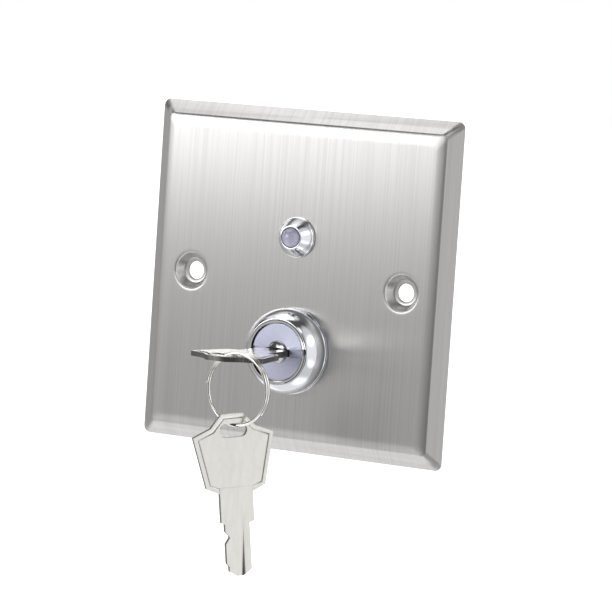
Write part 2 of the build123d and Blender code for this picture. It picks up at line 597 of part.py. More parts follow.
with BuildPart() as terminal_screws:
    for name, (x, z), out in TERMINALS:
        face = Vector(x + out[0] * TAB_T / 2, -TAB_SCREW_AT, LOCK_Z + z + out[1] * TAB_T / 2)
        screw(Plane(origin=face, x_dir=(0, 1, 0), z_dir=(out[0], 0, out[1])), 2.2, 1.3, TAB_SCREW_R, 3.0)
save(terminal_screws, "terminal_screws")


# ---------------------------------------------------------------- indicator lamp
with BuildPart() as led_bezel:
    barrel_r = LED_BARREL_D / 2
    turned([(LED_SEAT_R, LED_BARREL_BACK_AT), (barrel_r - 0.4, LED_BARREL_BACK_AT),
            (barrel_r, LED_BARREL_BACK_AT + 0.4)]
           + thread(barrel_r, LED_BARREL_BACK_AT + 0.5, PLATE_BACK_AT)
           + [(barrel_r, PLATE_STAND), (BEZEL_FLANGE_D / 2, PLATE_STAND),
              (BEZEL_FLANGE_D / 2, PLATE_STAND + BEZEL_FLANGE_T),
              (BEZEL_CONE_D / 2, PLATE_STAND + BEZEL_FLANGE_T + 0.1),
              (BEZEL_RING_D / 2, BEZEL_FRONT_AT), (LED_BORE_R, BEZEL_FRONT_AT),
              (LED_BORE_R, LED_FLANGE_AT), (LED_SEAT_R, LED_FLANGE_AT)], LED_Z)
save(led_bezel, "led_bezel")

with BuildPart() as led_nut:
    hexagon_nut(LED_NUT_AF, LED_BARREL_D / 2 + SLIP, LED_NUT_T, PLATE_BACK_AT, LED_Z)
save(led_nut, "led_nut")

with BuildPart() as led_lens:
    with BuildSketch(Plane(origin=(0, 0, LED_Z), x_dir=(1, 0, 0), z_dir=(0, 0, 1))):
        with BuildLine():
            lens_r = LED_D / 2
            Polyline((0, -LED_BACK_AT), (LED_FLANGE_D / 2, -LED_BACK_AT), (LED_FLANGE_D / 2, -LED_FLANGE_AT),
                     (lens_r, -LED_FLANGE_AT), (lens_r, -LED_DOME_AT))
            ThreePointArc((lens_r, -LED_DOME_AT),
                          (lens_r * cos(radians(45)), -LED_DOME_AT - lens_r * sin(radians(45))),
                          (0, -LED_DOME_AT - lens_r))
            Line((0, -LED_DOME_AT - lens_r), (0, -LED_BACK_AT))
        make_face()
    revolve(axis=Axis((0, 0, LED_Z), (0, 1, 0)))
save(led_lens, "led_lens")

with BuildPart() as led_holder:
    turned([(2.1, LED_BARREL_BACK_AT + 0.4), (LED_SEAT_R, LED_BARREL_BACK_AT + 0.4),
            (LED_SEAT_R, LED_BACK_AT), (2.1, LED_BACK_AT)], LED_Z)
save(led_holder, "led_holder")

LEAD_OUT = 1.0
RESISTOR_Z = BOARD_Z - BOARD_H / 2 + 2.0
RESISTOR_R = 1.2
RESISTOR_L = 6.3
RESISTOR_LEG = 5.0
RESISTOR_AT = BOARD_BACK_AT - RESISTOR_R - 0.3
WIRE_R = 0.3
pin_spots = [(side * LED_PIN_SPACING / 2, LED_Z) for side in (-1, 1)]

with BuildPart() as led_leads:
    for x, z in pin_spots:
        with BuildSketch(front(LED_BACK_AT, z, x)):
            Rectangle(LED_PIN, LED_PIN)
        extrude(amount=BOARD_BACK_AT - LEAD_OUT - LED_BACK_AT)
save(led_leads, "led_leads")

with BuildPart() as lamp_board:
    with BuildSketch(front(BOARD_AT, BOARD_Z)):
        RectangleRounded(BOARD_W, BOARD_H, 1.0)
    extrude(amount=-BOARD_T)
    for x, z in pin_spots:
        with BuildSketch(front(BOARD_AT, z, x)):
            Circle(LED_PIN * 0.75)
        extrude(amount=-BOARD_T, mode=Mode.SUBTRACT)
save(lamp_board, "lamp_board")

with BuildPart() as board_resistor:
    with BuildSketch(Plane(origin=(0, -RESISTOR_AT, RESISTOR_Z), z_dir=(1, 0, 0))):
        Circle(RESISTOR_R)
    extrude(amount=RESISTOR_L / 2, both=True)
    with BuildSketch(Plane(origin=(0, -RESISTOR_AT, RESISTOR_Z), z_dir=(1, 0, 0))):
        Circle(WIRE_R)
    extrude(amount=RESISTOR_LEG + WIRE_R, both=True)
    for side in (-1, 1):
        with BuildSketch(front(BOARD_BACK_AT, RESISTOR_Z, side * RESISTOR_LEG)):
            Circle(WIRE_R)
        extrude(amount=RESISTOR_AT - BOARD_BACK_AT)
save(board_resistor, "board_resistor")

BLOCK_W = 10.2
BLOCK_H = 7.6
BLOCK_DEEP = 8.5
BLOCK_PITCH = 5.08
BLOCK_Z = BOARD_Z + BOARD_H / 2 - BLOCK_H / 2 - 0.4
BLOCK_BACK_AT = BOARD_BACK_AT - BLOCK_DEEP
WELL_R = 1.75
WELL_DEEP = 2.6
block_ways = [side * BLOCK_PITCH / 2 for side in (-1, 1)]

with BuildPart() as terminal_block:
    with BuildSketch(front(BOARD_BACK_AT, BLOCK_Z)):
        Rectangle(BLOCK_W, BLOCK_H)
    extrude(amount=-BLOCK_DEEP)
    for x in block_ways:
        with BuildSketch(front(BLOCK_BACK_AT, BLOCK_Z, x)):
            Circle(WELL_R)
        extrude(amount=WELL_DEEP, mode=Mode.SUBTRACT)
        with BuildSketch(front(BLOCK_BACK_AT, BLOCK_Z, x)):
            Circle(WELL_R * 0.5)
        extrude(amount=WELL_DEEP + 1.0, mode=Mode.SUBTRACT)
        with BuildSketch(Plane(origin=(x, -(BOARD_BACK_AT - 2.6), BLOCK_Z + BLOCK_H / 2), z_dir=(0, 0, 1))):
            Rectangle(2.8, 2.8)
        extrude(amount=-4.0, mode=Mode.SUBTRACT)
save(terminal_block, "terminal_block")

with BuildPart() as block_screws:
    for x in block_ways:
        screw(Plane(origin=(x, -(BLOCK_BACK_AT + WELL_DEEP), BLOCK_Z), x_dir=(1, 0, 0), z_dir=(0, 1, 0)),
              WELL_R, 1.2, WELL_R * 0.5, 1.0)
save(block_screws, "block_screws")


# ---------------------------------------------------------------- keys
def key_bow():
    """Outline of the bow, head end at y = 0, symmetrical about x = 0."""
    half = [(BOW_TOP / 2, 0), (BOW_BEND / 2, BEND_V), (BOW_W / 2, SHOULDER_V), (BOW_FOOT / 2, FOOT_V),
            (STEM_W / 2, STEM_V)]
    with BuildLine() as outline:
        Polyline(half + [(-x, y) for x, y in reversed(half)], close=True)
    make_face(outline.edges())


def key_shank():
    """Outline of the stem and the cut blade, from inside the bow to the tip."""
    left, right, stem = BLADE_LEFT, BLADE_RIGHT, STEM_W / 2
    tip = KEY_LENGTH
    with BuildLine() as outline:
        Polyline([
            (stem, FOOT_V), (stem, STEM_END_V), (right, STEM_END_V + 0.4), (right, tip - TIP_RUN),
            (TIP_FLAT / 2, tip), (-TIP_FLAT / 2, tip),
            (CUT_TIP - left, tip - 1.2), (CUT_TIP - left, tip - 2.4), (-left, tip - 3.2), (-left, tip - 8.0),
            (CUT_DEEP - left, tip - 9.4), (CUT_DEEP - left, tip - 9.8), (-left, tip - 11.0),
            (-left, STEM_END_V + 0.4), (-stem, STEM_END_V), (-stem, FOOT_V)], close=True)
    make_face(outline.edges())


def flat_key(plane):
    """Key blank cut for this lock; the plane's origin is its head end, y runs to the tip."""
    with BuildSketch(plane) as bow:
        key_bow()
    extrude(bow.sketch, amount=KEY_RIM_T / 2, both=True)
    with BuildSketch(plane) as panel:
        key_bow()
        offset(amount=-PANEL_INSET, mode=Mode.REPLACE)
    extrude(panel.sketch, amount=KEY_T / 2, both=True)
    with BuildSketch(plane) as shank:
        key_shank()
    extrude(shank.sketch, amount=KEY_T / 2, both=True)
    with BuildSketch(plane) as slot:
        with Locations((0, KEY_SLOT_V)):
            SlotOverall(KEY_SLOT_W, KEY_SLOT_H)
    extrude(slot.sketch, amount=KEY_T, both=True, mode=Mode.SUBTRACT)
    groove_x = (BLADE_RIGHT - BLADE_LEFT) / 2 + 0.4
    for face in (-1, 1):
        top, root = face * (KEY_T / 2 + 0.05), face * (KEY_T / 2 - BLADE_GROOVE_DEEP)
        start = plane.from_local_coords(Vector(0, BLADE_GROOVE_V, 0))
        with BuildSketch(Plane(origin=start, x_dir=plane.x_dir, z_dir=plane.y_dir)) as groove:
            with BuildLine():
                Polyline((groove_x - BLADE_GROOVE_W / 2, -top), (groove_x, -root),
                         (groove_x + BLADE_GROOVE_W / 2, -top), close=True)
            make_face()
        extrude(groove.sketch, amount=KEY_LENGTH - BLADE_GROOVE_V, mode=Mode.SUBTRACT)


with BuildPart() as key_inserted:
    flat_key(Plane(origin=(0, -KEY_HEAD_AT, LOCK_Z), x_dir=(1, 0, 0), z_dir=(0, 0, 1)))
save(key_inserted, "key_inserted")


# ---------------------------------------------------------------- split ring and spare key
ring_right = Vector(cos(radians(RING_TURN)), sin(radians(RING_TURN)), 0)
ring_out = Vector(sin(radians(RING_TURN)), -cos(radians(RING_TURN)), 0)
ring_centre = Vector(RING_X, -RING_AT, RING_Z)
lap = RING_PITCH * RING_SWEEP / 360

with BuildPart() as flat_ring:
    coil_spring((0, 0, -lap / 2), (0, 0, 1), lap, RING_R, RING_WIRE, lap / RING_PITCH)

with BuildPart() as split_ring:
    first_end = ring_right * cos(radians(RING_START)) + Vector(0, 0, 1) * sin(radians(RING_START))
    with Locations(Plane(origin=ring_centre, x_dir=first_end, z_dir=ring_out)):
        add(flat_ring.part)
save(split_ring, "split_ring")

width = Vector(cos(radians(SPARE_TURN)), sin(radians(SPARE_TURN)), 0)
down = Vector(0, 0, -1)
spare_x = width * cos(radians(SPARE_TILT)) - down * sin(radians(SPARE_TILT))
spare_y = down * cos(radians(SPARE_TILT)) + width * sin(radians(SPARE_TILT))
carrier = ring_centre + down * (RING_R - RING_WIRE / 2 - SPARE_HANG)
spare_head = carrier - spare_x * SPARE_U - spare_y * SLOT_EDGE_V

with BuildPart() as key_spare:
    flat_key(Plane(origin=spare_head, x_dir=spare_x, z_dir=spare_x.cross(spare_y)))
save(key_spare, "key_spare")
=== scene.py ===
"""Selector key switch on a brushed stainless wall plate, with its lamp, keys and split ring."""

import logging
import math
from collections.abc import Callable
from dataclasses import dataclass
from enum import Enum

import bmesh
import bpy
from mathutils import Euler, Matrix, Vector

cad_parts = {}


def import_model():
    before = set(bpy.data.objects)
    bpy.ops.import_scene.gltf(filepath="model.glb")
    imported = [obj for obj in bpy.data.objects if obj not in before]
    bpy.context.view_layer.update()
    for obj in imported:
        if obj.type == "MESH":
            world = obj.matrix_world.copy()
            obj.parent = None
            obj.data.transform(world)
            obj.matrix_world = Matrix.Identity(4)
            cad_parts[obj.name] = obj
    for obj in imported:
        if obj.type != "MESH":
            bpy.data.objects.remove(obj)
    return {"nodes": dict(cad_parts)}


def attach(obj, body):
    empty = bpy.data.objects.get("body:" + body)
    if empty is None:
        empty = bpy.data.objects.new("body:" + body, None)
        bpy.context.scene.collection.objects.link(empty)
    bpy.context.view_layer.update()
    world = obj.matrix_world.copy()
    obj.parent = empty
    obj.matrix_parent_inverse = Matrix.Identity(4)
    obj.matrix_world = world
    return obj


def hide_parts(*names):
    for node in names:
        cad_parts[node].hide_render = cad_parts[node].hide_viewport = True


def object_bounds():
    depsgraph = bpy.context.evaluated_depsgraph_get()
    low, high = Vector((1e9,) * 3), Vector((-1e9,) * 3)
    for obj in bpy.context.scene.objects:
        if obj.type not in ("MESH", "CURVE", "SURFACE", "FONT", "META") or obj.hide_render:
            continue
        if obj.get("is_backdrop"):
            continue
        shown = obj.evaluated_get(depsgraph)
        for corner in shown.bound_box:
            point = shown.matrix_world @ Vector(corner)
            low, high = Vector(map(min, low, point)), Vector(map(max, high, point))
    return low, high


MM = 0.001
LOG = logging.getLogger("key_switch")
Point = tuple[float, float]


# ---------------------------------------------------------------- finishes
class Pattern(Enum):
    """How a surface was made, which decides the marks on it."""

    DRAWN = "strokes or mottling stretched along the axes"
    TURNED = "fine circles round an axis that runs along Y"


@dataclass(frozen=True)
class Finish:
    """One real surface: its colours, its gloss, and the size of the marks on it.

    Mark sizes are in millimetres along X, Y and Z, and the depth is the height of the marks.
    """

    name: str
    colour: str
    shade: str
    metallic: float = 0.0
    roughness: float = 0.4
    spread: float = 0.08
    marks: tuple[float, float, float] = (1.0, 1.0, 1.0)
    octaves: float = 3.0
    depth: float = 0.004
    pattern: Pattern = Pattern.DRAWN
    axis_z: float = 0.0
    anisotropy: float = 0.0
    coat: float = 0.0
    ior: float = 1.5
    transmission: float = 0.0
    subsurface: float = 0.0

    def material(self) -> bpy.types.Material:
        """Make the node material.

        Returns:
            A material that reads Object coordinates only.
        """
        made = bpy.data.materials.new(self.name)
        made.use_nodes = True
        tree = made.node_tree
        tree.nodes.clear()
        place = add_node(tree, "ShaderNodeTexCoord")
        size = Vector([1.0 / (MM * mark) for mark in self.marks])
        if self.pattern is Pattern.TURNED:
            centre = add_node(tree, "ShaderNodeMapping",
                              {"Location": (0.0, 0.0, -self.axis_z * MM), "Scale": (1.0, 0.0, 1.0)},
                              {"Vector": place.outputs["Object"]})
            radius = add_node(tree, "ShaderNodeVectorMath", {"operation": "LENGTH"},
                              {0: centre.outputs["Vector"]})
            marks = add_node(tree, "ShaderNodeTexNoise",
                             {"noise_dimensions": "1D", "Scale": size.x, "Detail": self.octaves},
                             {"W": radius.outputs["Value"]})
        else:
            stretch = add_node(tree, "ShaderNodeMapping", {"Scale": size},
                               {"Vector": place.outputs["Object"]})
            marks = add_node(tree, "ShaderNodeTexNoise",
                             {"Scale": 1.0, "Detail": self.octaves, "Roughness": 0.68},
                             {"Vector": stretch.outputs["Vector"]})
        contrast = add_node(tree, "ShaderNodeMapRange", {"From Min": 0.3, "From Max": 0.7},
                            {"Value": marks.outputs[0]})
        tone = add_node(tree, "ShaderNodeMix",
                        {"data_type": "RGBA", 6: linear(self.colour), 7: linear(self.shade)},
                        {0: contrast.outputs["Result"]})
        gloss = add_node(tree, "ShaderNodeMapRange",
                         {"To Min": max(self.roughness - self.spread / 2, 0.01),
                          "To Max": self.roughness + self.spread / 2},
                         {"Value": contrast.outputs["Result"]})
        relief = add_node(tree, "ShaderNodeBump", {"Strength": 1.0, "Distance": self.depth * MM},
                          {"Height": marks.outputs[0]})
        links = {"Base Color": tone.outputs[2], "Roughness": gloss.outputs["Result"],
                 "Normal": relief.outputs["Normal"]}
        settings = {"Metallic": self.metallic, "Anisotropic": self.anisotropy,
                    "Coat Weight": self.coat, "Coat Roughness": 0.05, "IOR": self.ior,
                    "Transmission Weight": self.transmission, "Subsurface Weight": self.subsurface,
                    "Subsurface Scale": 0.5 * MM}
        if self.anisotropy:
            across = add_node(tree, "ShaderNodeTangent", {"direction_type": "RADIAL", "axis": "Z"})
            links["Tangent"] = across.outputs["Tangent"]
        shader = add_node(tree, "ShaderNodeBsdfPrincipled", settings, links)
        add_node(tree, "ShaderNodeOutputMaterial", {}, {"Surface": shader.outputs["BSDF"]})
        return made


def add_node(tree: bpy.types.NodeTree, kind: str, settings: dict | None = None,
             links: dict | None = None) -> bpy.types.Node:
    """Add a node with its settings and the links that feed it.

    Args:
        tree: The node tree that takes the node.
        kind: The node's Blender type.
        settings: Property names or input names and numbers, with their values.
        links: Input names or numbers, with the outputs that feed them.

    Returns:
        The new node.
    """
    made = tree.nodes.new(kind)
    for name, value in (settings or {}).items():
        if isinstance(name, str) and hasattr(made, name):
            setattr(made, name, value)
        else:
            made.inputs[name].default_value = value
    for name, source in (links or {}).items():
        tree.links.new(source, made.inputs[name])
    return made


def linear(colour: str) -> tuple[float, float, float, float]:
    """Turn an sRGB hex colour into linear RGBA."""
    channels = [int(colour[i:i + 2], 16) / 255 for i in (1, 3, 5)]
    red, green, blue = [c / 12.92 if c <= 0.04045 else ((c + 0.055) / 1.055) ** 2.4 for c in channels]
    return red, green, blue, 1.0


LOCK_Z = -17.4
LED_Z = 11.1

# Each finish is named after its slot in the record, so that a carried-over part takes its own.
FINISHES = {finish.name: finish for finish in (
    # 304 stainless sheet, brushed up and down: long strokes and a soft glow spread sideways
    Finish("brushed_stainless", "#dddcda", "#cecdcb", 1.0, 0.33, 0.03, (0.5, 90.0, 90.0), 4.0, 0.0003,
           anisotropy=0.8),
    # bright chrome on a zinc casting: a clear mirror with the faintest waviness
    Finish("chrome_plated_zinc", "#e4e5ea", "#dddee4", 1.0, 0.07, 0.03, (3.0, 3.0, 3.0), 2.0, 0.001),
    # nickel on turned brass: a little warmer and softer than chrome
    Finish("nickel_plated_brass", "#dcdbd9", "#cccbc9", 1.0, 0.16, 0.06, (0.25, 1, 1), 2.0, 0.001,
           Pattern.TURNED, LOCK_Z),
    # zinc on steel with clear passivation: pale, slightly blue, faintly mottled
    Finish("zinc_plated_steel", "#c9ced4", "#aab1ba", 1.0, 0.30, 0.14, (0.8, 0.8, 0.8), 4.0, 0.003),
    # turned brass: warm gold with tool rings
    Finish("turned_brass", "#dcbd72", "#c19f55", 1.0, 0.24, 0.10, (0.2, 1, 1), 2.0, 0.002,
           Pattern.TURNED, LOCK_Z),
    # satin chrome: an even lavender grey from a blasted face, with no direction to it
    Finish("satin_chrome", "#c3c5d8", "#b9bbcf", 1.0, 0.42, 0.06, (0.3, 0.3, 0.3), 3.0, 0.0008),
    # drawn spring wire: dark bright steel with faint die lines
    Finish("spring_steel", "#a9aaad", "#87898e", 1.0, 0.24, 0.10, (0.3, 0.3, 0.3), 3.0, 0.002),
    # glass-filled nylon: near black with a fine moulded grain
    Finish("black_nylon", "#1d1e20", "#2a2b2e", 0.0, 0.52, 0.16, (0.35, 0.35, 0.35), 4.0, 0.012, ior=1.53),
    # black oxide on steel screws: oily black with worn, greyer patches
    Finish("black_oxide_steel", "#2b2b2d", "#47474a", 1.0, 0.42, 0.2, (0.6, 0.6, 0.6), 4.0, 0.004),
    # natural acetal: milky white, waxy gloss
    Finish("white_acetal", "#ecebe4", "#e2e0d6", 0.0, 0.34, 0.1, (0.9, 0.9, 0.9), 3.0, 0.004, ior=1.48,
           subsurface=0.1),
    # silver plated copper contact: pale with a pinkish worn track
    Finish("silvered_copper", "#e2ddd2", "#d2a184", 1.0, 0.26, 0.12, (1.4, 1.4, 1.4), 3.0, 0.003),
    # hardened bearing ball: a clean dark mirror
    Finish("bearing_steel", "#d0d2d6", "#c2c4c9", 1.0, 0.05, 0.03, (0.8, 0.8, 0.8), 2.0, 0.0005),
    # phenolic moulding: warm dark grey with filler specks
    Finish("grey_phenolic", "#6d6c6a", "#585755", 0.0, 0.46, 0.14, (0.25, 0.25, 0.25), 4.0, 0.008, ior=1.6),
    # diffused epoxy lamp body: a cool translucent grey under a wet gloss
    Finish("frosted_epoxy", "#9c9db2", "#9698ad", 0.0, 0.24, 0.04, (4.0, 4.0, 4.0), 2.0, 0.0005, ior=1.55,
           coat=1.0),
    # hot-dipped tin on steel leads: soft white metal
    Finish("tinned_steel", "#d4d5d6", "#bcbec0", 1.0, 0.34, 0.14, (0.5, 0.5, 0.5), 3.0, 0.004),
    # green solder mask over glass laminate: glossy with the weave just showing
    Finish("green_laminate", "#1f5a36", "#2c6f45", 0.0, 0.28, 0.08, (0.45, 0.45, 0.45), 2.0, 0.006, coat=0.4),
    # baked lacquer on the resistor: pale blue, slightly uneven
    Finish("resistor_lacquer", "#86a9b8", "#759aab", 0.0, 0.30, 0.1, (0.9, 0.9, 0.9), 3.0, 0.01, coat=0.3),
    # green nylon terminal block: semi-matt moulding
    Finish("green_nylon", "#2f7d4a", "#28703f", 0.0, 0.44, 0.12, (0.3, 0.3, 0.3), 3.0, 0.01, ior=1.53),
    # nickel plated brass key: bright stamped faces with fine handling scratches along the blank
    Finish("nickel_plated_key", "#dfded9", "#d6d5d0", 1.0, 0.20, 0.05, (1.4, 6.0, 6.0), 4.0, 0.0006),
    # the sheared edge of the blank: dull darker grey with upright tearing marks
    Finish("sheared_edge", "#a09f9b", "#6f6e6b", 1.0, 0.34, 0.14, (0.35, 0.35, 2.0), 3.0, 0.004),
    # nickel plated spring wire: a rounder, brighter mirror
    Finish("nickel_plated_wire", "#f4f3ee", "#ecebe5", 1.0, 0.09, 0.03, (0.8, 0.8, 0.8), 3.0, 0.0008),
)}


# ---------------------------------------------------------------- shared modelling
def deselect() -> None:
    """Leave edit mode and deselect every object."""
    if bpy.context.object and bpy.context.object.mode != "OBJECT":
        bpy.ops.object.mode_set(mode="OBJECT")
    bpy.ops.object.select_all(action="DESELECT")


def activate(piece: bpy.types.Object) -> None:
    """Make this the only selected object and the active one."""
    deselect()
    piece.select_set(True)
    bpy.context.view_layer.objects.active = piece


def adopt(name: str) -> bpy.types.Object:
    """Name the primitive just added and put its place in its mesh.

    Args:
        name: The new piece's name.

    Returns:
        The primitive's object, now at the origin.
    """
    piece = bpy.context.object
    piece.name = piece.data.name = name
    activate(piece)
    bpy.ops.object.transform_apply(location=True, rotation=True, scale=True)
    return piece


def trace(name: str, points: list[Vector], closed: bool) -> bpy.types.Object:
    """Draw a chain of vertices by extruding one vertex from point to point.

    Args:
        name: The new piece's name.
        points: The chain, in metres.
        closed: True to fill the chain with one face.

    Returns:
        The piece, left in edit mode with all of it selected.
    """
    deselect()
    bpy.ops.mesh.primitive_plane_add(size=MM, location=points[0])
    piece = adopt(name)
    bpy.ops.object.mode_set(mode="EDIT")
    bpy.ops.mesh.select_all(action="SELECT")
    bpy.ops.mesh.merge(type="CENTER")
    for before, after in zip(points, points[1:]):
        bpy.ops.mesh.extrude_vertices_move(TRANSFORM_OT_translate={"value": after - before})
    bpy.ops.mesh.select_all(action="SELECT")
    if closed:
        bpy.ops.mesh.edge_face_add()
    return piece


def turn(name: str, profile: list[Point], x: float = 0.0, z: float = 0.0, steps: int = 96,
         closed: bool = True) -> bpy.types.Object:
    """Turn a profile about a line along Y, as on a lathe.

    Args:
        name: The new piece's name.
        profile: Points as radius and height off the wall, in millimetres.
        x: The axis' place along X, in millimetres.
        z: The axis' place along Z, in millimetres.
        steps: Divisions of the circle.
        closed: True if the last point joins the first.

    Returns:
        The turned piece, in object mode.
    """
    points = [Vector(((x + r) * MM, -h * MM, z * MM)) for r, h in profile]
    if closed and profile[0][0] > 0:
        points.append(points[0])
    piece = trace(name, points, closed=False)
    bpy.ops.mesh.spin(steps=steps, angle=math.tau, center=(x * MM, 0.0, z * MM), axis=(0.0, 1.0, 0.0))
    bpy.ops.mesh.select_all(action="SELECT")
    bpy.ops.mesh.remove_doubles(threshold=0.002 * MM)
    if closed:
        bpy.ops.mesh.normals_make_consistent(inside=False)
    bpy.ops.object.mode_set(mode="OBJECT")
    return piece


def prism(name: str, outline: list[Point], low: float, high: float) -> bpy.types.Object:
    """Extrude a flat outline along its own third axis.

    Args:
        name: The new piece's name.
        outline: Points across and along, in millimetres.
        low: Height of the first face, in millimetres.
        high: Height of the second face, in millimetres.

    Returns:
        The solid, in object mode.
    """
    piece = trace(name, [Vector((u * MM, v * MM, low * MM)) for u, v in outline], closed=True)
    bpy.ops.mesh.extrude_region_move(TRANSFORM_OT_translate={"value": (0.0, 0.0, (high - low) * MM)})
    bpy.ops.mesh.select_all(action="SELECT")
    bpy.ops.mesh.normals_make_consistent(inside=False)
    bpy.ops.object.mode_set(mode="OBJECT")
    return piece


def arc(start: Point, through: Point, end: Point, steps: int) -> list[Point]:
    """Points along the circle arc through three points, both ends included."""
    a, b, c = (complex(*p) for p in (start, through, end))
    w = (c - a) / (b - a)
    centre = (b - a) * (w - abs(w) ** 2) / (2j * w.imag) + a
    first, middle, last = (math.atan2((p - centre).imag, (p - centre).real) for p in (a, b, c))
    sweep = (last - first) % math.tau
    if (middle - first) % math.tau > sweep:
        sweep -= math.tau
    radius = abs(a - centre)
    made = [centre + radius * complex(math.cos(t), math.sin(t))
            for t in (first + sweep * i / steps for i in range(steps + 1))]
    return [(p.real, p.imag) for p in made]


def combine(piece: bpy.types.Object, other: bpy.types.Object, operation: str) -> None:
    """Join or cut a piece with another solid, which is used up.

    Args:
        piece: The solid that is kept.
        other: The solid that is added or taken away.
        operation: UNION or DIFFERENCE.
    """
    activate(piece)
    modifier = piece.modifiers.new("combine", "BOOLEAN")
    modifier.operation = operation
    modifier.solver = "EXACT"
    modifier.object = other
    bpy.ops.object.modifier_apply(modifier=modifier.name)
    bpy.data.objects.remove(other)


def soften(piece: bpy.types.Object, width: float, segments: int = 2, angle: float = 30.0) -> None:
    """Round the edges sharper than an angle, then shade what is left smoothly and keep flats flat.

    Args:
        piece: The piece to finish.
        width: Width of the rounding, in millimetres. None is cut where it is 0.
        segments: Steps across the rounding.
        angle: Edges flatter than this, in degrees, stay as they are and are shaded smooth.
    """
    activate(piece)
    if width:
        modifier = piece.modifiers.new("soften", "BEVEL")
        modifier.limit_method = "ANGLE"
        modifier.angle_limit = math.radians(angle)
        modifier.width = width * MM
        modifier.segments = segments
        bpy.ops.object.modifier_apply(modifier=modifier.name)
    bpy.ops.object.shade_smooth_by_angle(angle=math.radians(angle))
    modifier = piece.modifiers.new("flats", "WEIGHTED_NORMAL")
    modifier.keep_sharp = True
    bpy.ops.object.modifier_apply(modifier=modifier.name)


def thread(radius: float, low: float, high: float, pitch: float = 1.0) -> list[Point]:
    """Profile points of a screw thread between two heights."""
    made: list[Point] = []
    for i in range(int((high - low) / pitch)):
        base = low + i * pitch
        made += [(radius, base + 0.15), (radius - 0.3, base + 0.5), (radius, base + 0.85)]
    return made


def settle(piece: bpy.types.Object, body: str, slot: str, *nodes: str) -> None:
    """Give a finished piece its material, its body and the CAD parts it stands for.

    Args:
        piece: The finished piece.
        body: The CAD body it rides on.
        slot: The record's material slot, which also names the finish.
        nodes: The CAD nodes that it replaces.
    """
    piece.data.materials.clear()
    piece.data.materials.append(finish_material(slot))
    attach(piece, body)
    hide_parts(*nodes)
    LOG.info("%s: %d faces, rides on %s", piece.name, len(piece.data.polygons), body)


def second_finish(piece: bpy.types.Object, finish: str, wanted: Callable[[bpy.types.MeshPolygon], bool]) -> None:
    """Give some faces of a piece another finish.

    Args:
        piece: The piece, which already has its main finish.
        finish: The name of the other finish.
        wanted: Says whether a face takes it.
    """
    piece.data.materials.append(finish_material(finish))
    for face in piece.data.polygons:
        if wanted(face):
            face.material_index = 1


MADE: dict[str, bpy.types.Material] = {}


def finish_material(slot: str) -> bpy.types.Material:
    """The material of a slot, made the first time it is asked for."""
    if slot not in MADE:
        MADE[slot] = FINISHES[slot].material()
    return MADE[slot]


